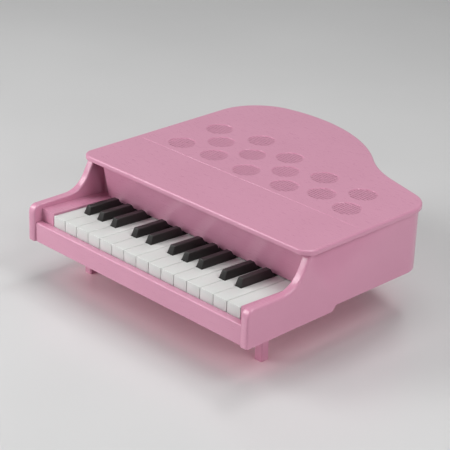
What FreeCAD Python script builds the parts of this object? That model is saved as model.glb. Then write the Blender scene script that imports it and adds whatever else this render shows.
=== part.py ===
"""Toy grand piano: a moulded case with twenty-five keys, hammers and tone bars.

Millimetres, +Z up. The origin is on the floor, midway between the sides and between front and tail.
Heights are counted from the underside of the case, setbacks from the front of the cheeks.
"""

import FreeCAD
import Part
import math
import os

Vector = FreeCAD.Vector

# Overall sizes
lid_width = 355.0
depth = 380.0
leg_length = 48.0
case_height = 83.5

# Clearances, and the overrun of every cut
overrun = 4.0
fit_gap = 0.25
rest_gap = 0.3
rod_clearance = 0.05
key_gap = 0.6
touch = 0.001

# Lid: outline of tangent arcs, rounded rim, thin skin, cross groove
lid_setback = 79.3
lid_overhang = 3.3
lid_rim = 6.0
lid_skin = 2.4
lid_round = 2.2
front_radius = 15.0
right_radius = 36.0
flank_length = 46.5
waist_radius = 133.0
waist_angle = 47.0
tail_radius = 194.0
tail_x_share = -0.448
left_radius = 68.0
groove_share = 0.288
groove_width = 1.2
groove_depth = 0.4
groove_margin = 9.0

# Grilles: places as shares of the half width and of the lid's length
grille_radius = 16.2
grille_slot = 1.9
grille_slot_count = 8
grille_shares = [
    (-0.732, 0.591), (-0.710, 0.372), (-0.554, 0.497), (-0.400, 0.630), (-0.417, 0.379),
    (-0.264, 0.496), (-0.067, 0.583), (-0.104, 0.366), (0.072, 0.471), (0.306, 0.539),
    (0.230, 0.367), (0.465, 0.418), (0.640, 0.528), (0.718, 0.387),
]

# Posts under the lid that take the floor's screws: two behind the cheeks, two towards the tail
post_width = 8.0
post_wall_gap = 7.5
front_post_setback = 117.0
left_post_angle = 135.0
right_post_angle = 45.0

# Side walls and cheeks
wall = 2.6
cheek = 10.6
cheek_length = 106.0
cheek_height = 42.7
cheek_nose = 9.0
cheek_flat = 51.0
cheek_sweep = 32.0
cheek_sweep_angle = 62.0
cheek_round = 2.4
cheek_bevel = 1.2
rear_rise = 6.2
step_setback = 127.3
ledge_width = 2.5
ledge_height = 2.5
ledge_length = 24.0
ledge_shares = [(-1.0, 0.50), (-0.448, 1.0), (1.0, 0.42)]

# Floor, keyslip, key blocks and front rail
floor_lift = 2.0
floor_thickness = 2.5
slip_setback = 2.2
slip_height = 22.8
slip_wall = 2.5
slip_round = 1.5
block_rise = 2.0
block_wall = 2.2
block_gap = 0.7
block_end = 105.5
rail_setback = 24.0
rail_width = 3.5

# Fallboard
fallboard_thickness = 2.6
fallboard_setback = 98.0
fallboard_angle = 12.7
fallboard_lift = 0.9
fallboard_margin = 5.9
niche_wall = 2.0

# Legs: two at the front, one under the tail
leg_width = 11.0
leg_bevel = 1.2
tenon_width = 6.0
front_leg_share = 0.772
front_leg_setback = 62.0
rear_leg_shares = (-0.406, 0.794)

# Screws
screw_radius = 1.25
screw_length = 9.0
screw_head_radius = 2.8
screw_head_height = 1.8

# Keys: notes grouped by the equal slots that their tails share, w white and b black
note_groups = ["wbwbwbw", "wbwbw", "wbwbwbw", "wbwbw", "w"]
white_pitch_share = 0.05535
keyboard_shift_share = 0.0135
key_setback = 11.5
white_height = 35.5
key_tilt = 2.6
white_thickness = 9.0
white_skirt = 17.5
key_skin = 1.7
key_side = 1.2
black_setback = 44.8
black_base_share = 0.4885
black_top_share = 0.356
black_sink = 0.8
black_rise = 9.0
black_front_slope = 4.0
black_rear_slope = 6.0
black_cap_setback = 96.0
key_dip = 5.5
rod_radius = 1.5
key_pivot_setback = 95.0
key_pivot_height = 27.5
key_hub = 5.0
key_hub_taper = 4.0
key_tail_low = 23.5
key_tail_setback = 140.0
key_nub_length = 4.0
key_nub_height = 37.2

# Hammers
hammer_pivot_setback = 150.0
hammer_pivot_height = 40.0
hammer_hub = 3.8
hammer_width_share = 0.5
hammer_arm = 4.0
hammer_under = 37.6
hammer_reach = 44.5
hammer_head_length = 9.0
hammer_head_taper = 1.5
hammer_lead_share = 1.033
let_off = 0.5

# Tone bars: each one a semitone shorter than the last, laid on felt at its quiet points
bar_width_share = 0.4326
bar_thickness = 2.5
bar_longest_share = 0.715
bar_setback = 106.0
bar_height = 58.0
bar_node_share = 0.224
semitone_share = 2 ** (-1 / 24)

# Action frame: side plates, rails and felts
plate = 2.4
plate_gap = 1.1
plate_rim = 9.0
plate_over = 6.0
tab_length = 14.0
felt = 1.2
key_rest_setback = 127.0
key_rest_width = 5.5
key_rest_thickness = 3.5
hammer_rest_setback = 116.0
hammer_rest_width = 5.0
hammer_rest_thickness = 2.2
bar_rail_width = 6.0
bar_rail_thickness = 5.8

# Places worked out from those sizes
front = -depth / 2
back = depth / 2
base = leg_length
half_lid = lid_width / 2
half_case = half_lid - lid_overhang
half_bay = half_case - cheek
lid_front = front + lid_setback
lid_length = back - lid_front
lid_top = base + case_height
rim_bottom = lid_top - lid_rim
skin_bottom = lid_top - lid_skin
wall_inset = lid_overhang + wall
rim_inset = wall_inset + fit_gap
cheek_end = front + cheek_length
floor_low = base + floor_lift
floor_top = floor_low + floor_thickness
rear_floor_low = floor_low + rear_rise
rear_floor_top = rear_floor_low + floor_thickness
white_count = sum(group.count("w") for group in note_groups)
white_pitch = white_pitch_share * lid_width
keyboard_shift = keyboard_shift_share * lid_width
half_black = black_base_share * white_pitch / 2
half_black_top = black_top_share * white_pitch / 2
half_hammer = hammer_width_share * white_pitch / 2
half_bar = bar_width_share * white_pitch / 2
bar_longest = bar_longest_share * lid_length
keys_left = keyboard_shift - white_count * white_pitch / 2
keys_right = keys_left + white_count * white_pitch
key_front = front + key_setback
white_top = base + white_height
key_slope = math.tan(math.radians(key_tilt))
key_pivot_y = front + key_pivot_setback
key_pivot_z = base + key_pivot_height
key_tail_end = front + key_tail_setback
block_back = front + block_end
fallboard_left = keys_left - fallboard_margin
hammer_pivot_y = front + hammer_pivot_setback
hammer_pivot_z = base + hammer_pivot_height
key_turn = math.asin(key_dip / (key_pivot_setback - key_setback))
key_nub_arm = key_tail_setback - key_nub_length / 2 - key_pivot_setback
hammer_heel_arm = hammer_pivot_setback - key_pivot_setback - key_nub_arm
hammer_turn = key_turn * hammer_lead_share * key_nub_arm / hammer_heel_arm
bar_front = front + bar_setback
bar_low = base + bar_height
plate_front = cheek_end + fit_gap
plate_left = (keys_left - plate_gap - plate, keys_left - plate_gap)
plate_right = (keys_right + plate_gap, keys_right + plate_gap + plate)


def box(x, y, z):
    """Box over three ranges."""
    return Part.makeBox(x[1] - x[0], y[1] - y[0], z[1] - z[0], Vector(x[0], y[0], z[0]))


def side_prism(points, x):
    """Prism over a range of x, from corners given as y and z."""
    corners = [Vector(x[0], y, z) for y, z in points]
    face = Part.Face(Part.makePolygon(corners + corners[:1]))
    return face.extrude(Vector(x[1] - x[0], 0, 0))


def key_plane(y):
    """Height of the white keys' tops at rest, which fall gently from their fronts to the fallboard."""
    return white_top - key_slope * (y - key_front)


def under_slope(y, low, rise, span):
    """Prism whose top runs along the white keys' plane, above it by rise."""
    tops = [(place, key_plane(place) + rise) for place in (y[1], y[0])]
    return side_prism([(y[0], low), (y[1], low)] + tops, span)


def plan_prism(points, z):
    """Prism over a range of z, from corners given as x and y."""
    corners = [Vector(x, y, z[0]) for x, y in points]
    face = Part.Face(Part.makePolygon(corners + corners[:1]))
    return face.extrude(Vector(0, 0, z[1] - z[0]))


def cross_rod(x, y, z, radius):
    """Round rod along X."""
    return Part.makeCylinder(radius, x[1] - x[0], Vector(x[0], y, z), Vector(1, 0, 0))


def upright(x, y, z, radius):
    """Round post along Z."""
    return Part.makeCylinder(radius, z[1] - z[0], Vector(x, y, z[0]))


def tangent(first, second):
    """Ends of the line that leaves one circle and meets the next; turn is 1 leftward, -1 rightward."""
    centre, radius, turn = first
    other, other_radius, other_turn = second
    reach = other - centre
    lean = (turn * radius - other_turn * other_radius) / reach.Length
    heading = math.atan2(reach.y, reach.x) + math.asin(max(-1, min(1, lean)))
    side = Vector(math.sin(heading), -math.cos(heading), 0)
    leave = centre + side * (turn * radius)
    arrive = other + side * (other_turn * other_radius)
    return (leave, leave) if (arrive - leave).Length < touch else (leave, arrive)


def belt_wire(circles):
    """Closed wire round a chain of circles, tangent to each; a circle of no radius is a plain corner."""
    joins = [tangent(circle, circles[(i + 1) % len(circles)]) for i, circle in enumerate(circles)]
    edges = []
    for i, (centre, radius, turn) in enumerate(circles):
        entry = joins[i - 1][1]
        leave, arrive = joins[i]
        if radius > 0:
            start = math.atan2(entry.y - centre.y, entry.x - centre.x)
            end = math.atan2(leave.y - centre.y, leave.x - centre.x)
            middle = start + turn * (((end - start) * turn) % (2 * math.pi)) / 2
            crown = centre + Vector(math.cos(middle), math.sin(middle), 0) * radius
            edges.append(Part.Arc(entry, crown, leave).toShape())
        if arrive != leave:
            edges.append(Part.makeLine(leave, arrive))
    return Part.Wire(edges)


def outline_centres():
    """Centres of the outline's right, waist, tail and left circles."""
    tail = Vector(tail_x_share * half_lid, back - tail_radius, 0)
    left_x = left_radius - half_lid
    left_y = tail.y + math.sqrt((tail_radius - left_radius) ** 2 - (left_x - tail.x) ** 2)
    turn = math.radians(waist_angle)
    waist = tail + Vector(math.cos(turn), math.sin(turn), 0) * (tail_radius + waist_radius)
    right_x = half_lid - right_radius
    span = math.hypot(waist_radius + right_radius, flank_length)
    right_y = waist.y - math.sqrt(span ** 2 - (right_x - waist.x) ** 2)
    return Vector(right_x, right_y, 0), waist, tail, Vector(left_x, left_y, 0)


def outline_prism(inset, front_y, corner, z):
    """Prism of the lid's outline drawn in by inset, with its front at front_y."""
    right, waist, tail, left = outline_centres()
    corner_x = half_lid - inset - corner
    circles = [
        (Vector(corner_x, front_y + corner, 0), corner, 1),
        (right, right_radius - inset, 1),
        (waist, waist_radius + inset, -1),
        (tail, tail_radius - inset, 1),
        (left, left_radius - inset, 1),
        (Vector(-corner_x, front_y + corner, 0), corner, 1),
    ]
    face = Part.Face(belt_wire(circles))
    face.translate(Vector(0, 0, z[0]))
    return face.extrude(Vector(0, 0, z[1] - z[0]))


def edges_at_height(shape, z):
    """Edges that lie wholly at one height."""
    return [e for e in shape.Edges if abs(e.BoundBox.ZMin - z) < touch and abs(e.BoundBox.ZMax - z) < touch]


def lid_place(shares):
    """Point on the lid from shares of its half width and its length."""
    return shares[0] * half_lid, lid_front + shares[1] * lid_length


def post_places():
    """Centres of the lid's posts, each at the same distance from the wall."""
    inset = wall_inset + post_wall_gap
    x = half_lid - inset
    y = front + front_post_setback
    places = [(-x, y), (x, y)]
    centres = outline_centres()
    ends = [(centres[-1], left_radius - inset, left_post_angle),
            (centres[0], right_radius - inset, right_post_angle)]
    for centre, reach, angle in ends:
        turn = math.radians(angle)
        places.append((centre.x + reach * math.cos(turn), centre.y + reach * math.sin(turn)))
    return places


def floor_under(y):
    """Height of the floor's upper face at a setback."""
    return floor_top if y < front + step_setback else rear_floor_top


def list_notes():
    """Every key from low to high: its kind, its slot's centre and the ranges of its head and tail."""
    slots = []
    start = keys_left
    for group in note_groups:
        width = group.count("w") * white_pitch
        slot = width / len(group)
        slots += [(kind, start + (i + 0.5) * slot) for i, kind in enumerate(group)]
        start += width
    notes = []
    whites = 0
    for i, (kind, centre) in enumerate(slots):
        if kind == "b":
            span = (centre - half_black, centre + half_black)
            notes.append((kind, centre, span, span))
            continue
        head_left = keys_left + whites * white_pitch + key_gap / 2
        head_right = head_left + white_pitch - key_gap
        tail_left = head_left
        tail_right = head_right
        if i > 0 and slots[i - 1][0] == "b":
            tail_left = slots[i - 1][1] + half_black + key_gap
        if i + 1 < len(slots) and slots[i + 1][0] == "b":
            tail_right = slots[i + 1][1] - half_black - key_gap
        notes.append((kind, centre, (head_left, head_right), (tail_left, tail_right)))
        whites += 1
    return notes


notes = list_notes()


def make_grilles():
    """Tools that cut the rows of slots of each round grille through the lid."""
    tools = []
    pitch = 2 * grille_radius / grille_slot_count
    for shares in grille_shares:
        x, y = lid_place(shares)
        for row in range(grille_slot_count):
            offset = (row - (grille_slot_count - 1) / 2) * pitch
            reach = math.sqrt(grille_radius ** 2 - offset ** 2)
            low = y + offset - grille_slot / 2
            tools.append(box((x - reach, x + reach), (low, low + grille_slot),
                             (skin_bottom - overrun, lid_top + overrun)))
    return tools


def make_lid():
    """Cover with a rounded rim, hollow below, with posts for the floor's screws."""
    lid = outline_prism(0, lid_front, front_radius, (rim_bottom, lid_top))
    lid = lid.makeFillet(lid_round, edges_at_height(lid, lid_top))
    hollow = outline_prism(rim_inset, lid_front + rim_inset, front_radius - rim_inset,
                           (rim_bottom - overrun, skin_bottom))
    groove_x = half_lid - groove_margin
    groove_y = lid_front + groove_share * lid_length
    groove = box((-groove_x, groove_x), (groove_y, groove_y + groove_width),
                 (lid_top - groove_depth, lid_top + overrun))
    lid = lid.cut([hollow, groove] + make_grilles())
    posts = []
    holes = []
    reach = post_width / 2
    for x, y in post_places():
        foot = floor_under(y)
        posts.append(box((x - reach, x + reach), (y - reach, y + reach), (foot, skin_bottom + touch)))
        holes.append(upright(x, y, (foot - overrun, foot + screw_length), screw_radius + rod_clearance))
    return lid.fuse(posts).cut(holes)


def arc_point(start, radius, angle):
    """Point on an arc that leaves a level line at start and turns upward by angle."""
    return start + Vector(0, radius * math.sin(angle), radius * (1 - math.cos(angle)))


def cheek_edges(shape, x, end):
    """Edges along the top and front of a cheek's side face at x."""
    flat = [e for e in shape.Edges if e.BoundBox.XLength < touch and abs(e.BoundBox.XMax - x) < touch]
    return [e for e in flat if e.BoundBox.YMax < end + touch
            and (e.BoundBox.ZMin > base + touch or e.BoundBox.YMax < front + touch)]


def make_cheek(side):
    """Thick front end of a side wall: rounded nose, flat, then a sweep up to the lid."""
    angle = math.radians(cheek_sweep_angle)
    flat_end = Vector(0, front + cheek_flat, base + cheek_height)
    sweep_crown = arc_point(flat_end, cheek_sweep, angle / 2)
    sweep_end = arc_point(flat_end, cheek_sweep, angle)
    rise_end = sweep_end.y + (rim_bottom - sweep_end.z) / math.tan(angle)
    nose = Vector(0, front + cheek_nose, flat_end.z)
    nose_crown = nose - arc_point(Vector(0, 0, 0), cheek_nose, math.pi / 4)
    corners = [Vector(0, rise_end, rim_bottom), Vector(0, cheek_end, rim_bottom), Vector(0, cheek_end, base),
               Vector(0, front, base), Vector(0, front, nose.z - cheek_nose)]
    edges = [Part.makeLine(a, b) for a, b in zip(corners, corners[1:])]
    edges.append(Part.Arc(corners[-1], nose_crown, nose).toShape())
    edges.append(Part.makeLine(nose, flat_end))
    edges.append(Part.Arc(flat_end, sweep_crown, sweep_end).toShape())
    edges.append(Part.makeLine(sweep_end, corners[0]))
    solid = Part.Face(Part.Wire(edges)).extrude(Vector(cheek, 0, 0))
    outer, inner = (cheek, 0) if side > 0 else (0, cheek)
    solid = solid.makeFillet(cheek_round, cheek_edges(solid, outer, rise_end))
    solid = solid.makeChamfer(cheek_bevel, cheek_edges(solid, inner, rise_end))
    solid.translate(Vector(half_bay if side > 0 else -half_case, 0, 0))
    return solid


def ledge_window(shares):
    """Block that cuts one short ledge out of the ring along the walls."""
    x, y = lid_place(shares)
    reach = ledge_length / 2
    return box((x - reach, x + reach), (y - reach, y + reach), (base, rim_bottom))


def make_rim_case():
    """Side walls round the back, joined to the cheeks, with ledges that stand on the floor."""
    heights = (base, rim_bottom)
    shell = outline_prism(lid_overhang, cheek_end, 0, heights)
    inside = outline_prism(wall_inset, cheek_end - overrun, 0, (base - overrun, rim_bottom + overrun))
    ledge = outline_prism(wall_inset - touch, cheek_end, 0, (rear_floor_top, rear_floor_top + ledge_height))
    ledge_hole = outline_prism(wall_inset + ledge_width, cheek_end - overrun, 0,
                               (rear_floor_top - overrun, rear_floor_top + ledge_height + overrun))
    step = front + step_setback
    lift = side_prism([(step - overrun, base - overrun), (step, base), (step + rear_rise, base + rear_rise),
                       (back + overrun, base + rear_rise), (back + overrun, base - overrun)],
                      (-half_lid, half_lid))
    windows = Part.makeCompound([ledge_window(shares) for shares in ledge_shares])
    ring = shell.cut(inside).fuse(windows.common(ledge.cut(ledge_hole)).Solids)
    return ring.fuse([make_cheek(1), make_cheek(-1)]).cut(lift).removeSplitter()


def make_floor():
    """Floor plate with its slanting step, fitting inside the walls."""
    half = half_bay - fit_gap
    step = front + step_setback
    upper_step = step - floor_thickness
    profile = [(front + slip_setback, floor_low), (step, floor_low), (step + rear_rise, rear_floor_low),
               (back, rear_floor_low), (back, rear_floor_top), (upper_step + rear_rise, rear_floor_top),
               (upper_step, floor_top), (front + slip_setback, floor_top)]
    plan = box((-half, half), (front + slip_setback, cheek_end + fit_gap), (floor_low, rear_floor_top))
    plan = plan.fuse(outline_prism(rim_inset, cheek_end + fit_gap, 0, (floor_low, rear_floor_top)))
    return side_prism(profile, (-half_lid, half_lid)).common(plan)


def make_keyslip():
    """Front rail of the case: an upright wall with a ledge over its top, level with the keys' fronts."""
    half = half_bay - fit_gap
    face = front + slip_setback
    top = base + slip_height
    ledge_back = key_front - key_gap
    slip = side_prism([(face, base), (face, top), (ledge_back, top), (ledge_back, top - slip_wall),
                       (face + slip_wall, top - slip_wall), (face + slip_wall, base)], (-half, half))
    edge = [e for e in edges_at_height(slip, top) if abs(e.BoundBox.YMax - face) < touch]
    return slip.makeFillet(slip_round, edge)


def make_key_blocks():
    """Hollow blocks beside the keys, with a slot for the key rod in each inner wall."""
    half = half_bay - fit_gap
    blocks = []
    for low, high in ((-half, keys_left - block_gap), (keys_right + block_gap, half)):
        block = under_slope((key_front, block_back), floor_low, block_rise, (low, high))
        hollow = under_slope((key_front + block_wall, block_back + overrun), floor_top,
                             block_rise - block_wall, (low + block_wall, high - block_wall))
        blocks.append(block.cut(hollow))
    walls = (keys_left - block_gap - block_wall, keys_right + block_gap + block_wall)
    return [block.cut(rod_hole(walls, key_pivot_y, key_pivot_z)) for block in blocks]


def front_rail_top():
    """Height of the front rail, which stops the keys through its felt at the end of their dip."""
    arm = key_pivot_setback - key_setback
    rail_arm = key_pivot_setback - rail_setback
    return white_top - white_thickness - key_dip * rail_arm / arm - rest_gap - felt


def screw_places():
    """Where each screw's head bears, under the floor."""
    return [Vector(x, y, floor_under(y) - floor_thickness) for x, y in post_places()]


def leg_places():
    """Centres of the three legs."""
    x = front_leg_share * half_lid
    y = front + front_leg_setback
    return [(-x, y), (x, y), lid_place(rear_leg_shares)]


def make_bottom_case():
    """Floor, keyslip, key blocks and front rail in one moulding."""
    rail_y = front + rail_setback
    rail = box((keys_left, keys_right), (rail_y, rail_y + rail_width), (floor_low, front_rail_top()))
    case = make_floor().fuse([make_keyslip(), rail] + make_key_blocks())
    through = (base - overrun, rear_floor_top + overrun)
    cuts = [upright(place.x, place.y, through, screw_radius + rod_clearance) for place in screw_places()]
    mortise = tenon_width / 2 + rod_clearance
    for x, y in leg_places():
        cuts.append(box((x - mortise, x + mortise), (y - mortise, y + mortise), through))
    cuts += [plate_tab(span, rod_clearance) for span in (plate_left, plate_right)]
    return case.cut(cuts).removeSplitter()


def make_fallboard():
    """Leaning panel down to the keys; its left end returns to a niche over the key block."""
    half = half_bay - fit_gap
    cap = skin_bottom - fit_gap
    foot_y = front + fallboard_setback
    foot = key_plane(foot_y) + fallboard_lift
    top_y = foot_y - (cap - foot) * math.tan(math.radians(fallboard_angle))
    niche_back = block_back - niche_wall
    panel = side_prism([(top_y, cap), (top_y + fallboard_thickness, cap),
                        (foot_y + fallboard_thickness, foot), (foot_y, foot)], (fallboard_left, half))
    side = side_prism([(top_y, cap), (block_back, cap), (block_back, foot), (foot_y, foot)],
                      (fallboard_left, fallboard_left + niche_wall))
    rear = box((-half, fallboard_left + niche_wall), (niche_back, block_back), (foot, cap))
    over = (top_y, block_back + overrun)
    rests = [under_slope(over, base, block_rise, span) for span in
             ((-half_lid, keys_left - block_gap + fit_gap), (keys_right + block_gap - fit_gap, half_lid))]
    return panel.fuse([side, rear]).cut(rests).removeSplitter()


def make_legs():
    """Square legs with bevelled edges, each pressed into the floor by a tenon."""
    legs = []
    reach = leg_width / 2
    tenon = tenon_width / 2
    for x, y in leg_places():
        top = floor_under(y)
        leg = box((x - reach, x + reach), (y - reach, y + reach), (0, top - floor_thickness))
        leg = leg.makeChamfer(leg_bevel, [e for e in leg.Edges if e.BoundBox.ZLength > leg_width])
        legs.append(leg.fuse(box((x - tenon, x + tenon), (y - tenon, y + tenon), (leg_width, top))))
    return legs


def make_screws():
    """Hexagon-headed screws, alike in size."""
    screws = []
    for place in screw_places():
        corners = [place + Vector(math.cos(turn), math.sin(turn), 0) * screw_head_radius
                   for turn in (i * math.pi / 3 for i in range(6))]
        head = Part.Face(Part.makePolygon(corners + corners[:1])).extrude(Vector(0, 0, -screw_head_height))
        screws.append(head.fuse(Part.makeCylinder(screw_radius, screw_length, place)))
    return screws


def rod_hole(span, y, z):
    """Square hole that carries a rod."""
    half = rod_radius + rod_clearance
    return box(span, (y - half, y + half), (z - half, z + half))


def rod_slot(span, y, z, drop):
    """Slot, open below, by which a lever sits on its rod."""
    half = rod_radius + rod_clearance
    return box((span[0] - overrun, span[1] + overrun), (y - half, y + half), (z - drop - overrun, z + half))


def tail_profile(start, sink, bottom):
    """Side view of a key behind its head: hub at the rod, low tail, upright nub at the end."""
    hub_low = key_pivot_z - key_hub
    low = base + key_tail_low
    hub_front = key_pivot_y - key_hub
    hub_back = key_pivot_y + key_hub
    tail_top = key_plane(hub_back) - sink
    nub_front = key_tail_end - key_nub_length
    nub_top = base + key_nub_height
    return [(start, bottom), (hub_front - key_hub_taper, bottom), (hub_front, hub_low), (hub_back, hub_low),
            (hub_back + key_hub_taper, low), (key_tail_end, low), (key_tail_end, nub_top),
            (nub_front, nub_top), (nub_front, tail_top), (hub_back, tail_top),
            (start, key_plane(start) - sink)]


def key_hollow(y, sink, span):
    """Room inside a key, under a skin that lies below the white keys' plane by sink."""
    low = white_top - white_thickness - overrun
    return under_slope(y, low, -sink, (span[0] + key_side, span[1] - key_side))


def make_white_key(head, tail):
    """Hollow white key: broad head with a front skirt, and a tail between the black keys."""
    head_end = front + black_setback - key_gap
    bottom = white_top - white_thickness
    skirt_low = white_top - white_skirt
    skirt_back = key_front + key_skin
    key = side_prism([(key_front, skirt_low), (skirt_back, skirt_low), (skirt_back, bottom),
                      (head_end, bottom), (head_end, key_plane(head_end)), (key_front, white_top)], head)
    key = key.fuse(side_prism(tail_profile(head_end, 0, bottom), tail))
    hollow_end = key_pivot_y - key_hub - key_hub_taper
    head_back = head_end - key_side
    head_hollow = key_hollow((skirt_back, head_back), key_skin, head)
    tail_hollow = key_hollow((head_back, hollow_end), key_skin, tail)
    slot = rod_slot(tail, key_pivot_y, key_pivot_z, key_hub)
    return key.cut([head_hollow, tail_hollow, slot]).removeSplitter()


def make_black_key(span):
    """Black key: low body under a tapered cap that slopes at the front and at the back."""
    cap_front = front + black_setback
    cap_back = front + black_cap_setback
    crown_front = cap_front + black_front_slope
    crown_back = cap_back - black_rear_slope
    foot = key_plane(cap_front) - black_sink
    crown = key_plane(cap_front) + black_rise
    body = side_prism(tail_profile(cap_front, black_sink, white_top - white_thickness), span)
    taper = half_black - half_black_top
    ends = [Vector(span[0], cap_front, foot), Vector(span[1], cap_front, foot),
            Vector(span[1] - taper, cap_front, crown), Vector(span[0] + taper, cap_front, crown)]
    length = cap_back - cap_front
    cap = Part.Face(Part.makePolygon(ends + ends[:1])).extrude(Vector(0, length, -key_slope * length))
    cap = cap.common(side_prism([(cap_front, foot), (cap_back, key_plane(cap_back) - black_sink),
                                 (crown_back, key_plane(crown_back) + black_rise),
                                 (crown_front, key_plane(crown_front) + black_rise)], span))
    hollow_end = key_pivot_y - key_hub - key_hub_taper
    hollow = key_hollow((cap_front + key_skin, hollow_end), black_sink + key_skin, span)
    return body.fuse(cap).cut([hollow, rod_slot(span, key_pivot_y, key_pivot_z, key_hub)]).removeSplitter()


def hammer_crown():
    """Height of a resting hammer's head, which stops short of the bar by the let-off when it is thrown."""
    swing = hammer_reach - hammer_head_taper
    climb = bar_low - let_off - hammer_pivot_z - swing * math.sin(hammer_turn)
    return hammer_pivot_z + climb / math.cos(hammer_turn)


def make_hammer(centre):
    """Hammer that lies forward from its rod, with a raised head under the bar's end."""
    low = base + hammer_under
    arm_top = low + hammer_arm
    tip = hammer_pivot_y - hammer_reach
    head_back = tip + hammer_head_length
    heel = hammer_pivot_y + hammer_hub
    crown = hammer_crown()
    span = (centre - half_hammer, centre + half_hammer)
    arm = side_prism([(tip, low), (heel, low), (heel, hammer_pivot_z + hammer_hub), (head_back, arm_top),
                      (head_back - hammer_head_taper, crown), (tip + hammer_head_taper, crown),
                      (tip, arm_top)], span)
    return arm.cut(rod_slot(span, hammer_pivot_y, hammer_pivot_z, hammer_hub))


def bar_length(index):
    """Length of a tone bar, counted from the lowest note."""
    return bar_longest * semitone_share ** index


def make_bars():
    """Flat bars side by side over the hammers."""
    return [box((centre - half_bar, centre + half_bar), (bar_front, bar_front + bar_length(index)),
                (bar_low, bar_low + bar_thickness))
            for index, (kind, centre, head, tail) in enumerate(notes)]


def rail_line(share):
    """Setbacks of a slanting bar rail at the left and right side plates."""
    return (bar_front + share * bar_length(0), bar_front + share * bar_length(len(notes) - 1))


def slanting_rail(share, z):
    """Rail from plate to plate under the bars, at a share of their lengths."""
    left_y, right_y = rail_line(share)
    half = bar_rail_width / 2
    return plan_prism([(plate_left[1], left_y - half), (plate_right[0], right_y - half),
                       (plate_right[0], right_y + half), (plate_left[1], left_y + half)], z)


def plate_tab(span, gap):
    """Tab by which a side plate is pressed into the floor, or with a gap the slot that takes it."""
    reach = tab_length / 2 + gap
    return box((span[0] - gap, span[1] + gap), (hammer_pivot_y - reach, hammer_pivot_y + reach),
               (rear_floor_low, rear_floor_top))


def make_plate(span, rear):
    """Side plate of the action frame, with a tab, a window and a hole for the hammer rod."""
    top = bar_low - felt
    end = rear + plate_over
    solid = box(span, (plate_front, end), (rear_floor_top, top))
    through = (span[0] - overrun, span[1] + overrun)
    window = box(through, (hammer_pivot_y + hammer_hub + plate_rim, end - plate_rim),
                 (rear_floor_top + plate_rim, top - plate_rim))
    return solid.cut([window, rod_hole(through, hammer_pivot_y, hammer_pivot_z)]).fuse(plate_tab(span, 0))


def make_action_frame():
    """Two side plates joined by the key rest, the hammer rest and the two bar rails."""
    between = (plate_left[1], plate_right[0])
    rears = rail_line(1 - bar_node_share)
    key_rest = front + key_rest_setback
    key_rest_top = base + key_tail_low - rest_gap - felt
    hammer_rest = front + hammer_rest_setback
    hammer_rest_top = base + hammer_under - rest_gap - felt
    pieces = [
        make_plate(plate_right, rears[1]),
        box(between, (key_rest, key_rest + key_rest_width),
            (key_rest_top - key_rest_thickness, key_rest_top)),
        box(between, (hammer_rest, hammer_rest + hammer_rest_width),
            (hammer_rest_top - hammer_rest_thickness, hammer_rest_top)),
    ]
    for share in (bar_node_share, 1 - bar_node_share):
        pieces.append(slanting_rail(share, (bar_low - felt - bar_rail_thickness, bar_low - felt)))
    return make_plate(plate_left, rears[0]).fuse(pieces).removeSplitter()


def make_felts():
    """Felt on the front rail, the two rests and the bar rails."""
    between = (plate_left[1] + fit_gap, plate_right[0] - fit_gap)
    rail = front + rail_setback
    rail_top = front_rail_top()
    key_rest = front + key_rest_setback
    key_rest_top = base + key_tail_low - rest_gap
    hammer_rest = front + hammer_rest_setback
    hammer_rest_top = base + hammer_under - rest_gap
    felts = [
        box((keys_left, keys_right), (rail, rail + rail_width), (rail_top, rail_top + felt)),
        box(between, (key_rest, key_rest + key_rest_width), (key_rest_top - felt, key_rest_top)),
        box(between, (hammer_rest, hammer_rest + hammer_rest_width),
            (hammer_rest_top - felt, hammer_rest_top)),
    ]
    return felts + [slanting_rail(share, (bar_low - felt, bar_low)) for share in
                    (bar_node_share, 1 - bar_node_share)]


def make_rods():
    """The key rod between the key blocks and the hammer rod between the side plates."""
    key_rod = cross_rod((keys_left - block_gap - block_wall, keys_right + block_gap + block_wall),
                        key_pivot_y, key_pivot_z, rod_radius)
    hammer_rod = cross_rod((plate_left[0], plate_right[1]), hammer_pivot_y, hammer_pivot_z, rod_radius)
    return [key_rod, hammer_rod]


def save(name, shape):
    """Write one sub-part, or a group of like pieces."""
    shape.exportStep(f"parts/{name}.step")


def main():
    os.makedirs("parts", exist_ok=True)
    save("lid", make_lid())
    save("rim_case", make_rim_case())
    save("bottom_case", make_bottom_case())
    save("fallboard", make_fallboard())
    save("legs", Part.makeCompound(make_legs()))
    save("screws", Part.makeCompound(make_screws()))
    save("pivot_rods", Part.makeCompound(make_rods()))
    save("action_frame", make_action_frame())
    save("felt_strips", Part.makeCompound(make_felts()))
    save("tone_bars", Part.makeCompound(make_bars()))
    counts = {"w": 0, "b": 0}
    for index, (kind, centre, head, tail) in enumerate(notes):
        counts[kind] += 1
        if kind == "w":
            save(f"white_key_{counts[kind]:02d}", make_white_key(head, tail))
        else:
            save(f"black_key_{counts[kind]:02d}", make_black_key(tail))
        save(f"hammer_{index + 1:02d}", make_hammer(centre))


main()
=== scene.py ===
import math

import bmesh
import bpy
from mathutils import Matrix, Vector


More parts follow.
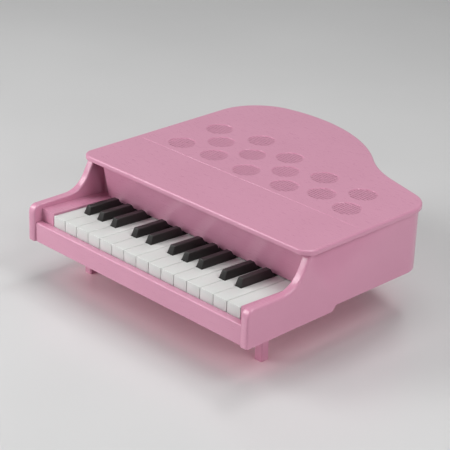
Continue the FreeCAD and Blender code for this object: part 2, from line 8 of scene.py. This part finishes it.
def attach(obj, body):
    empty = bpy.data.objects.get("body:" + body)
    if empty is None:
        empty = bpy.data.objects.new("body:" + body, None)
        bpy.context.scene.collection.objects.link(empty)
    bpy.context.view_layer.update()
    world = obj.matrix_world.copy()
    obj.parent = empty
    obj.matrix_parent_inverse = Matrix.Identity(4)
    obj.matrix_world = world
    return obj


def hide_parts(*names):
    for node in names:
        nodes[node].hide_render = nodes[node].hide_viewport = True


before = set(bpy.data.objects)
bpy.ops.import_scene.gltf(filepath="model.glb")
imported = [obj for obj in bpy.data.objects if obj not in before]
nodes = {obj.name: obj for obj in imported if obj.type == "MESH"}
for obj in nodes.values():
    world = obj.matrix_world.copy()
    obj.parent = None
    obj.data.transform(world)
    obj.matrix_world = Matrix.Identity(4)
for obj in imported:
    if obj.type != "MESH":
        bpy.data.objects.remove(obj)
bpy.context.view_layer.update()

MM = 0.001

# Sizes of the lid, as in the part's source, in millimetres
HALF_LID = 177.5
FRONT = -190.0
BACK = 190.0
LID_FRONT = FRONT + 79.3
LID_LENGTH = BACK - LID_FRONT
LID_TOP = 131.5
RIM_BOTTOM = LID_TOP - 6.0
SKIN_BOTTOM = LID_TOP - 2.4
RIM_INSET = 6.15
LID_ROUND = 2.2
FRONT_RADIUS = 15.0
RIGHT_RADIUS = 36.0
FLANK_LENGTH = 46.5
WAIST_RADIUS = 133.0
WAIST_ANGLE = 47.0
TAIL_RADIUS = 194.0
TAIL_X_SHARE = -0.448
LEFT_RADIUS = 68.0
GROOVE_SHARE = 0.288
GROOVE_MARGIN = 9.0
GROOVE_HALF = 0.6
POST_WIDTH = 8.0
POST_INSET = 13.4
POST_SETBACK = 117.0
LEFT_POST_ANGLE = 135.0
RIGHT_POST_ANGLE = 45.0
FLOOR_TOP = 52.5
REAR_RISE = 6.2

# Grilles: places as shares of the half width and of the lid's length
GRILLE_RADIUS = 16.2
GRILLE_ROWS = 8
GRILLES = [
    (-0.732, 0.591), (-0.710, 0.372), (-0.554, 0.497), (-0.400, 0.630), (-0.417, 0.379),
    (-0.264, 0.496), (-0.067, 0.583), (-0.104, 0.366), (0.072, 0.471), (0.306, 0.539),
    (0.230, 0.367), (0.465, 0.418), (0.640, 0.528), (0.718, 0.387),
]

# Finer detail of the visual lid, in millimetres: a small rounding under the rim, a sunk dish with
# slots in each grille, bevelled posts
RIM_LOWER_ROUND = 1.0
RIM_CHAMFER = 0.4
RIM_STEPS = 8
RIM_FLAT = 0.5
DISH_DEPTH = 0.55
DISH_LEDGE = 0.25
DISH_SURROUND = 0.8
SLOT_HALF = 0.60
SLOT_AREA_MARGIN = 0.9
SLOT_END_MARGIN = 0.6
GROOVE_SURROUND = 0.4
GROOVE_SLOPE = 0.35
GROOVE_DEPTH = 0.3
POST_BEVEL = 0.6

# Limits of the edges that are rounded, in metres
WHITE_UPPER = 0.0790
WHITE_SKIRT = 0.0655
WHITE_FRONT_END = -0.104
BLACK_UPPER = 0.0784
BLACK_REAR = -0.0935
FOOT_HEIGHT = 0.02
CHEEK_REAR = -0.0845
CHEEK_FOOT = 0.0485

# Meshes: angles in degrees, welding distances in metres
FLAT_ANGLE = 0.5
EDGE_ANGLE = 25.0
SHELL_CREASE = 40.0
LID_CREASE = 38.0
SHELL_WELD = 1e-6
LID_WELD = 1e-7
ARC_STEP = 0.045
FEWEST_ARC_STEPS = 4


# Materials

class Nodes:
    """A material's node tree with short calls for the nodes used here."""

    # Sockets of the Mix node when it mixes colours
    MIX_SHARE = 0
    MIX_COLOURS = (6, 7)
    MIX_RESULT = 2

    def __init__(self, name):
        self.material = bpy.data.materials.new(name)
        self.material.use_nodes = True
        tree = self.material.node_tree
        tree.nodes.clear()
        self.tree = tree
        self.output = tree.nodes.new("ShaderNodeOutputMaterial")
        self.shader = tree.nodes.new("ShaderNodeBsdfPrincipled")
        self.link(self.shader.outputs["BSDF"], self.output.inputs["Surface"])
        self.place = tree.nodes.new("ShaderNodeTexCoord").outputs["Object"]

    def link(self, start, end):
        self.tree.links.new(start, end)

    def set(self, **sockets):
        for name, value in sockets.items():
            self.shader.inputs[name.replace("_", " ")].default_value = value

    def stretched(self, x, y, z):
        node = self.tree.nodes.new("ShaderNodeMapping")
        node.inputs["Scale"].default_value = (x, y, z)
        self.link(self.place, node.inputs["Vector"])
        return node.outputs["Vector"]

    def noise(self, scale, detail=2.0, rough=0.5, vector=None):
        node = self.tree.nodes.new("ShaderNodeTexNoise")
        node.inputs["Scale"].default_value = scale
        node.inputs["Detail"].default_value = detail
        node.inputs["Roughness"].default_value = rough
        self.link(vector or self.place, node.inputs["Vector"])
        return node.outputs["Fac"]

    def ranged(self, value, low, high, start=0.3, end=0.7):
        node = self.tree.nodes.new("ShaderNodeMapRange")
        node.inputs["From Min"].default_value = start
        node.inputs["From Max"].default_value = end
        node.inputs["To Min"].default_value = low
        node.inputs["To Max"].default_value = high
        self.link(value, node.inputs["Value"])
        return node.outputs["Result"]

    def mixed(self, share, first, second):
        node = self.tree.nodes.new("ShaderNodeMix")
        node.data_type = "RGBA"
        for socket, value in zip(self.MIX_COLOURS, (first, second)):
            if isinstance(value, tuple):
                node.inputs[socket].default_value = (*value, 1.0)
            else:
                self.link(value, node.inputs[socket])
        self.link(share, node.inputs[self.MIX_SHARE])
        return node.outputs[self.MIX_RESULT]

    def bump(self, height, depth, under=None):
        node = self.tree.nodes.new("ShaderNodeBump")
        node.inputs["Strength"].default_value = 1.0
        node.inputs["Distance"].default_value = depth
        self.link(height, node.inputs["Height"])
        if under:
            self.link(under, node.inputs["Normal"])
        return node.outputs["Normal"]


CLOUD_SCALE = 14.0
SPECK_SCALE = 650.0
SPECK_SHARE = 0.12
SPECK_SHADE = 0.96
SCUFF_STRETCH = (70.0, 1400.0, 1400.0)
SCUFF_SPREAD = 0.025
PEEL_SCALE = 170.0
PEEL_DEPTH = 0.00002
GRAIN_SCALE = 1500.0
GRAIN_DEPTH = 0.00001
PLASTIC_IOR = 1.5
COAT_ROUGHNESS = 0.12


def moulded(name, tone, shade, rough, grain=1.0, coat=0.0):
    """Injection-moulded plastic: faint flow clouds, an orange-peel skin, fine grain and hairline scuffs."""
    m = Nodes(name)
    clouds = m.ranged(m.noise(CLOUD_SCALE, 3.0), 0.0, 1.0)
    specks = m.ranged(m.noise(SPECK_SCALE, 1.0), 0.0, SPECK_SHARE)
    speck_tone = tuple(0.5 * (a + b) * SPECK_SHADE for a, b in zip(tone, shade))
    colour = m.mixed(specks, m.mixed(clouds, tone, shade), speck_tone)
    m.link(colour, m.shader.inputs["Base Color"])
    scuffs = m.noise(1.0, 4.0, 0.6, m.stretched(*SCUFF_STRETCH))
    worn = m.ranged(scuffs, rough - SCUFF_SPREAD * 0.5, rough + SCUFF_SPREAD)
    m.link(worn, m.shader.inputs["Roughness"])
    peel = m.bump(m.noise(PEEL_SCALE, 1.0), PEEL_DEPTH * grain)
    skin = m.bump(m.noise(GRAIN_SCALE, 2.0, 0.6), GRAIN_DEPTH * grain, peel)
    m.link(skin, m.shader.inputs["Normal"])
    m.set(IOR=PLASTIC_IOR, Coat_Weight=coat, Coat_Roughness=COAT_ROUGHNESS)
    return m.material


LINE_DEPTH = 0.00001
LINE_SMOOTHER = 0.06
LINE_ROUGHER = 0.08


def metal(name, tone, shade, rough, drawn):
    """Metal with lines along its drawn direction."""
    m = Nodes(name)
    lines = m.noise(1.0, 3.0, 0.6, m.stretched(*drawn))
    m.link(m.mixed(m.ranged(lines, 0.0, 1.0), tone, shade), m.shader.inputs["Base Color"])
    m.link(m.ranged(lines, rough - LINE_SMOOTHER, rough + LINE_ROUGHER), m.shader.inputs["Roughness"])
    m.link(m.bump(lines, LINE_DEPTH), m.shader.inputs["Normal"])
    m.set(Metallic=1.0)
    return m.material


FIBRE_SCALE = 1600.0
MATTING_SCALE = 900.0
MATTING_DEPTH = 0.0004


def felted(name, tone, shade):
    """Pressed felt: matted fibres with a soft sheen."""
    m = Nodes(name)
    fibres = m.noise(FIBRE_SCALE, 5.0, 0.7)
    m.link(m.mixed(m.ranged(fibres, 0.0, 1.0), tone, shade), m.shader.inputs["Base Color"])
    m.link(m.bump(m.noise(MATTING_SCALE, 6.0, 0.75), MATTING_DEPTH), m.shader.inputs["Normal"])
    m.set(Roughness=0.95, Sheen_Weight=0.4, Sheen_Roughness=0.5)
    return m.material


pink = moulded("case_pink", (0.592, 0.262, 0.380), (0.570, 0.248, 0.362), 0.28, coat=0.35)
ivory = moulded("key_white", (0.620, 0.632, 0.616), (0.602, 0.614, 0.596), 0.30, 0.6)
ebony = moulded("key_black", (0.010, 0.009, 0.009), (0.014, 0.013, 0.012), 0.45, 1.2)
grey = moulded("frame_grey", (0.30, 0.30, 0.31), (0.26, 0.26, 0.27), 0.45, 1.5)
beige = moulded("hammer_beige", (0.62, 0.57, 0.48), (0.56, 0.51, 0.43), 0.45, 1.5)
steel = metal("rod_steel", (0.56, 0.56, 0.57), (0.46, 0.46, 0.48), 0.28, (40.0, 2500.0, 2500.0))
silver = metal("bar_silver", (0.80, 0.81, 0.82), (0.68, 0.69, 0.71), 0.34, (2500.0, 40.0, 2500.0))
felt = felted("strip_felt", (0.30, 0.035, 0.045), (0.20, 0.020, 0.030))


def paint(piece, material):
    """Give every face of a piece one material."""
    if piece.data.materials:
        for i in range(len(piece.data.materials)):
            piece.data.materials[i] = material
    else:
        piece.data.materials.append(material)


INNER_MATERIALS = {"action_frame": grey, "pivot_rods": steel, "screws": steel, "tone_bars": silver,
                   "felt_strips": felt}

for name, thing in nodes.items():
    if name.startswith("white"):
        paint(thing, ivory)
    elif name.startswith("black"):
        paint(thing, ebony)
    elif name.startswith("hammer"):
        paint(thing, beige)
    else:
        paint(thing, INNER_MATERIALS.get(name, pink))


# Pieces

def piece(name, bm, material, crease):
    """New object from a bmesh in metres, smooth but for edges sharper than the crease angle."""
    mesh = bpy.data.meshes.new(name)
    bm.to_mesh(mesh)
    bm.free()
    mesh.shade_smooth()
    mesh.set_sharp_from_angle(angle=math.radians(crease))
    made = bpy.data.objects.new(name, mesh)
    bpy.context.scene.collection.objects.link(made)
    paint(made, material)
    return made


def soften(node, width, keep, material, body="case", steps=3):
    """A copy of a node with its visible edges rounded, which stands for that node."""
    bm = bmesh.new()
    bm.from_mesh(nodes[node].data)
    bmesh.ops.remove_doubles(bm, verts=bm.verts, dist=SHELL_WELD)
    bmesh.ops.dissolve_limit(bm, angle_limit=math.radians(FLAT_ANGLE), verts=bm.verts, edges=bm.edges)
    sharp = math.radians(EDGE_ANGLE)
    edges = [e for e in bm.edges if len(e.link_faces) == 2 and e.calc_face_angle(0.0) > sharp
             and all(keep(v.co) for v in e.verts)]
    bmesh.ops.bevel(bm, geom=edges, offset=width * MM, segments=steps, profile=0.5, affect="EDGES",
                    clamp_overlap=True)
    made = piece(node + "_shell", bm, material, SHELL_CREASE)
    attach(made, body)
    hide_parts(node)
    return made


def lid_arcs():
    """Arcs of the lid's outline: centre, radius, turn, first angle, swept angle."""
    tail = Vector((TAIL_X_SHARE * HALF_LID, BACK - TAIL_RADIUS))
    left_x = LEFT_RADIUS - HALF_LID
    left_reach = TAIL_RADIUS - LEFT_RADIUS
    left = Vector((left_x, tail.y + math.sqrt(left_reach ** 2 - (left_x - tail.x) ** 2)))
    turn = math.radians(WAIST_ANGLE)
    waist = tail + Vector((math.cos(turn), math.sin(turn))) * (TAIL_RADIUS + WAIST_RADIUS)
    right_x = HALF_LID - RIGHT_RADIUS
    right_reach = WAIST_RADIUS + RIGHT_RADIUS
    drop = math.sqrt(right_reach ** 2 + FLANK_LENGTH ** 2 - (right_x - waist.x) ** 2)
    right = Vector((right_x, waist.y - drop))
    corner_x = HALF_LID - FRONT_RADIUS
    corner_y = LID_FRONT + FRONT_RADIUS
    chain = [(Vector((corner_x, corner_y)), FRONT_RADIUS, 1), (right, RIGHT_RADIUS, 1),
             (waist, WAIST_RADIUS, -1), (tail, TAIL_RADIUS, 1), (left, LEFT_RADIUS, 1),
             (Vector((-corner_x, corner_y)), FRONT_RADIUS, 1)]
    sides = []
    for i, (centre, radius, way) in enumerate(chain):
        other, other_radius, other_way = chain[(i + 1) % len(chain)]
        reach = other - centre
        lean = (way * radius - other_way * other_radius) / reach.length
        heading = math.atan2(reach.y, reach.x) + math.asin(max(-1.0, min(1.0, lean)))
        sides.append(Vector((math.sin(heading), -math.cos(heading))))
    arcs = []
    for i, (centre, radius, way) in enumerate(chain):
        start = math.atan2(sides[i - 1].y * way, sides[i - 1].x * way)
        end = math.atan2(sides[i].y * way, sides[i].x * way)
        arcs.append((centre, radius, way, start, ((end - start) * way) % (2 * math.pi)))
    return arcs


ARCS = lid_arcs()
RIGHT_ARC = ARCS[1]
LEFT_ARC = ARCS[4]


def post_places():
    """Centre and foot height of each post: two behind the cheeks, two towards the tail."""
    side = HALF_LID - POST_INSET
    places = [(-side, FRONT + POST_SETBACK, FLOOR_TOP), (side, FRONT + POST_SETBACK, FLOOR_TOP)]
    for (centre, radius, *_), degrees in ((LEFT_ARC, LEFT_POST_ANGLE), (RIGHT_ARC, RIGHT_POST_ANGLE)):
        angle = math.radians(degrees)
        spot = centre + Vector((math.cos(angle), math.sin(angle))) * (radius - POST_INSET)
        places.append((spot.x, spot.y, FLOOR_TOP + REAR_RISE))
    return places


def lid_loop(bm, inset, z):
    """Ring of vertices along the outline drawn in by inset; every ring has the same count."""
    ring = []
    for centre, radius, way, start, sweep in ARCS:
        count = max(FEWEST_ARC_STEPS, math.ceil(sweep / ARC_STEP))
        for k in range(count + 1):
            angle = start + way * sweep * k / count
            spot = centre + Vector((math.cos(angle), math.sin(angle))) * (radius - way * inset)
            ring.append(bm.verts.new((spot.x * MM, spot.y * MM, z * MM)))
    return ring


def circle_loop(bm, x, y, radius, z, count=64):
    """Ring of vertices around a level circle."""
    ring = []
    for k in range(count):
        angle = 2 * math.pi * k / count
        across = x + radius * math.cos(angle)
        along = y + radius * math.sin(angle)
        ring.append(bm.verts.new((across * MM, along * MM, z * MM)))
    return ring


def slot_loop(bm, x, y, reach, half, z, count=6):
    """Round-ended slot along X."""
    ring = []
    for side in (1, -1):
        for k in range(count + 1):
            angle = math.pi * k / count - side * math.pi / 2
            across = x + side * (reach - half) + half * math.cos(angle)
            along = y + half * math.sin(angle)
            ring.append(bm.verts.new((across * MM, along * MM, z * MM)))
    return ring


def skirt(bm, first, second):
    """Quads between two rings of the same count."""
    for i in range(len(first)):
        j = (i + 1) % len(first)
        bm.faces.new((first[i], first[j], second[j], second[i]))


def fill(bm, rings):
    """Flat face within the first ring, with the other rings as holes."""
    edges = []
    for ring in rings:
        for i in range(len(ring)):
            pair = (ring[i], ring[(i + 1) % len(ring)])
            edges.append(bm.edges.get(pair) or bm.edges.new(pair))
    bmesh.ops.triangle_fill(bm, use_beauty=True, edges=edges)


def grille(bm, x, y):
    """Sunk round grille with rows of round-ended slots; returns its upper and lower outer rings."""
    dish = LID_TOP - DISH_DEPTH
    rounded_edge = ((0.45, LID_TOP), (0.2, LID_TOP - 0.1), (0.08, LID_TOP - 0.3), (0.0, dish),
                    (-DISH_LEDGE, dish))
    upper = circle_loop(bm, x, y, GRILLE_RADIUS + DISH_SURROUND, LID_TOP)
    rings = [upper]
    for grow, z in rounded_edge:
        rings.append(circle_loop(bm, x, y, GRILLE_RADIUS + grow, z))
        skirt(bm, rings[-2], rings[-1])
    lower = circle_loop(bm, x, y, GRILLE_RADIUS - DISH_LEDGE, SKIN_BOTTOM)
    tops, bottoms = [rings[-1]], [lower]
    pitch = 2 * (GRILLE_RADIUS - SLOT_AREA_MARGIN) / GRILLE_ROWS
    end_radius = GRILLE_RADIUS - SLOT_END_MARGIN - SLOT_HALF
    for row in range(GRILLE_ROWS):
        offset = (row - (GRILLE_ROWS - 1) / 2) * pitch
        reach = SLOT_HALF + math.sqrt(end_radius ** 2 - offset ** 2)
        tops.append(slot_loop(bm, x, y + offset, reach, SLOT_HALF, dish))
        bottoms.append(slot_loop(bm, x, y + offset, reach, SLOT_HALF, SKIN_BOTTOM))
        skirt(bm, tops[-1], bottoms[-1])
    fill(bm, tops)
    fill(bm, bottoms)
    return upper, lower


def rim_profile():
    """Inset and height of the rings around the rim, from its inner foot to the flat of the lid."""
    profile = [(RIM_INSET, SKIN_BOTTOM), (RIM_INSET, RIM_BOTTOM + RIM_CHAMFER),
               (RIM_INSET - RIM_CHAMFER, RIM_BOTTOM), (RIM_LOWER_ROUND, RIM_BOTTOM)]
    for angle in (0.4, 0.8, 1.2, math.pi / 2):
        inset = RIM_LOWER_ROUND - RIM_LOWER_ROUND * math.sin(angle)
        profile.append((inset, RIM_BOTTOM + RIM_LOWER_ROUND - RIM_LOWER_ROUND * math.cos(angle)))
    for step in range(RIM_STEPS + 1):
        angle = math.pi / 2 * step / RIM_STEPS
        profile.append((LID_ROUND * (1 - math.cos(angle)), LID_TOP - LID_ROUND * (1 - math.sin(angle))))
    profile.append((LID_ROUND + RIM_FLAT, LID_TOP))
    return profile


def make_groove(bm):
    """Fine cross groove with a flat surround; returns its outer ring."""
    centre = LID_FRONT + GROOVE_SHARE * LID_LENGTH + GROOVE_HALF
    rings = []
    for inset, z in ((-GROOVE_SURROUND, LID_TOP), (0.0, LID_TOP), (GROOVE_SLOPE, LID_TOP - GROOVE_DEPTH)):
        x = HALF_LID - GROOVE_MARGIN - inset
        y = GROOVE_HALF - inset
        corners = ((-x, centre - y), (x, centre - y), (x, centre + y), (-x, centre + y))
        rings.append([bm.verts.new((a * MM, b * MM, z * MM)) for a, b in corners])
    for first, second in zip(rings, rings[1:]):
        skirt(bm, first, second)
    bm.faces.new(rings[-1])
    return rings[0]


def make_post(bm, x, y, z):
    """Square post with bevelled edges, from its foot to the underside of the lid."""
    middle = Matrix.Translation((x * MM, y * MM, (z + SKIN_BOTTOM) / 2 * MM))
    size = Matrix.Diagonal((POST_WIDTH * MM, POST_WIDTH * MM, (SKIN_BOTTOM - z) * MM, 1.0))
    block = bmesh.ops.create_cube(bm, size=1.0, matrix=middle @ size)["verts"]
    edges = list({e for v in block for e in v.link_edges})
    bmesh.ops.bevel(bm, geom=edges, offset=POST_BEVEL * MM, segments=2, profile=0.5, affect="EDGES")


def make_lid():
    """Lid with a rolled rim, a fine cross groove, sunk grilles and posts below."""
    bm = bmesh.new()
    rings = [lid_loop(bm, inset, z) for inset, z in rim_profile()]
    for first, second in zip(rings, rings[1:]):
        skirt(bm, first, second)
    tops, bottoms = [rings[-1]], [rings[0]]
    for across, along in GRILLES:
        upper, lower = grille(bm, across * HALF_LID, LID_FRONT + along * LID_LENGTH)
        tops.append(upper)
        bottoms.append(lower)
    tops.append(make_groove(bm))
    fill(bm, tops)
    fill(bm, bottoms)
    bmesh.ops.remove_doubles(bm, verts=bm.verts, dist=LID_WELD)
    for x, y, z in post_places():
        make_post(bm, x, y, z)
    bmesh.ops.recalc_face_normals(bm, faces=bm.faces)
    lid = piece("lid_cover", bm, pink, LID_CREASE)
    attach(lid, "case")
    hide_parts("lid")


make_lid()


def on_white_key(p):
    return p.z > WHITE_UPPER or p.z > WHITE_SKIRT and p.y < WHITE_FRONT_END


def on_black_key(p):
    return p.z > BLACK_UPPER and p.y < BLACK_REAR


for name in sorted(nodes):
    if name.startswith("white"):
        soften(name, 0.45, on_white_key, ivory, name)
    elif name.startswith("black"):
        soften(name, 0.7, on_black_key, ebony, name, 4)
soften("fallboard", 0.35, lambda p: True, pink)
soften("legs", 0.5, lambda p: p.z < FOOT_HEIGHT, pink)
soften("rim_case", 0.55, lambda p: p.y < CHEEK_REAR and p.z > CHEEK_FOOT, pink)


# Stage: pale floor, soft light, camera at the photograph's view

FLOOR_HALF = 4.0
# Painted shade: the floor's colour turns a deeper pink where the object encloses it, a painted pink shadow
# that stands for light bounced off the case
PAINTED_SHADE_REACH = 0.2
PAINTED_SHADE_TINT = (0.86, 0.62, 0.67)

floor_mesh = bpy.data.meshes.new("floor")
floor_corners = [(-FLOOR_HALF, -FLOOR_HALF, 0), (FLOOR_HALF, -FLOOR_HALF, 0), (FLOOR_HALF, FLOOR_HALF, 0),
                 (-FLOOR_HALF, FLOOR_HALF, 0)]
floor_mesh.from_pydata(floor_corners, [], [(0, 1, 2, 3)])
floor = bpy.data.objects.new("floor", floor_mesh)
bpy.context.scene.collection.objects.link(floor)
ground = Nodes("floor_pale_painted_shade")
pale = ground.mixed(ground.ranged(ground.noise(3.0), 0.0, 1.0), (0.64, 0.64, 0.64), (0.61, 0.61, 0.61))
# Ambient occlusion places the painted pink shade on the floor, strongest under and beside the object
shade = ground.tree.nodes.new("ShaderNodeAmbientOcclusion")
shade.samples = 8
shade.inputs["Distance"].default_value = PAINTED_SHADE_REACH
openness = ground.ranged(shade.outputs["AO"], 0.0, 1.0, 0.25, 0.65)
ground.link(ground.mixed(openness, PAINTED_SHADE_TINT, pale), ground.shader.inputs["Base Color"])
ground.set(Roughness=0.30)
floor.data.materials.append(ground.material)

# The world shows in reflections and past the floor's edge but adds no diffuse light
WORLD_LEVEL = 0.38

world = bpy.data.worlds.new("studio")
bpy.context.scene.world = world
world.use_nodes = True
sky = world.node_tree
path = sky.nodes.new("ShaderNodeLightPath")
level = sky.nodes.new("ShaderNodeMapRange")
level.inputs["To Min"].default_value = WORLD_LEVEL
level.inputs["To Max"].default_value = 0.0
sky.links.new(path.outputs["Is Diffuse Ray"], level.inputs["Value"])
sky.links.new(level.outputs["Result"], sky.nodes["Background"].inputs["Strength"])
sky.nodes["Background"].inputs["Color"].default_value = (1.0, 1.0, 1.0, 1.0)

# Lamps, all aimed at the middle of the object: name, place, width, height, watts
LAMP_AIM = Vector((0.0, 0.0, 0.1))
LAMPS = [
    ("key_box", (-1.35, -1.15, 1.35), 1.1, 1.1, 22.0),
    ("low_box", (-1.25, -1.45, 0.45), 1.2, 0.9, 17.5),
    ("front_box", (0.3, -1.9, 0.9), 1.2, 1.0, 4.0),
    ("top_box", (0.0, 0.0, 2.2), 1.2, 1.2, 12.0),
    ("rear_box", (-0.2, 0.9, 2.0), 0.5, 0.5, 9.0),
    ("side_box", (1.4, 0.2, 1.9), 0.8, 0.8, 13.0),
    ("flank_box", (1.8, -0.1, 0.7), 1.4, 1.2, 15.0),
]


def softbox(name, place, width, height, power):
    """Rectangular area lamp aimed at the object."""
    light = bpy.data.lights.new(name, "AREA")
    light.shape = "RECTANGLE"
    light.size = width
    light.size_y = height
    light.energy = power
    lamp = bpy.data.objects.new(name, light)
    # Lamps below one metre would glare in the floor and the lid, so they give no reflections.
    lamp.visible_glossy = place[2] > 1.0
    lamp.location = place
    lamp.rotation_mode = "QUATERNION"
    lamp.rotation_quaternion = (LAMP_AIM - Vector(place)).to_track_quat("-Z", "Y")
    bpy.context.scene.collection.objects.link(lamp)


for lamp_settings in LAMPS:
    softbox(*lamp_settings)

# Camera fitted to the straight edges and round grilles of the photograph
CAMERA_PLACE = (1.1317, -1.2059, 0.8136)
CAMERA_RIGHT = (0.70264, 0.71064, 0.03580)
CAMERA_UP = (-0.31509, 0.26564, 0.91112)
CAMERA_BACK = (0.63797, -0.65148, 0.41057)

camera_data = bpy.data.cameras.new("camera")
camera_data.sensor_width = 36.0
camera_data.lens = 127.4
camera_data.shift_y = -0.0022
camera_data.clip_start = 0.05
camera_data.clip_end = 50.0
camera = bpy.data.objects.new("camera", camera_data)
camera_turn = Matrix((CAMERA_RIGHT, CAMERA_UP, CAMERA_BACK)).transposed().to_4x4()
camera.matrix_world = Matrix.Translation(CAMERA_PLACE) @ camera_turn
bpy.context.scene.collection.objects.link(camera)
bpy.context.scene.camera = camera
bpy.context.scene.view_settings.view_transform = "Standard"
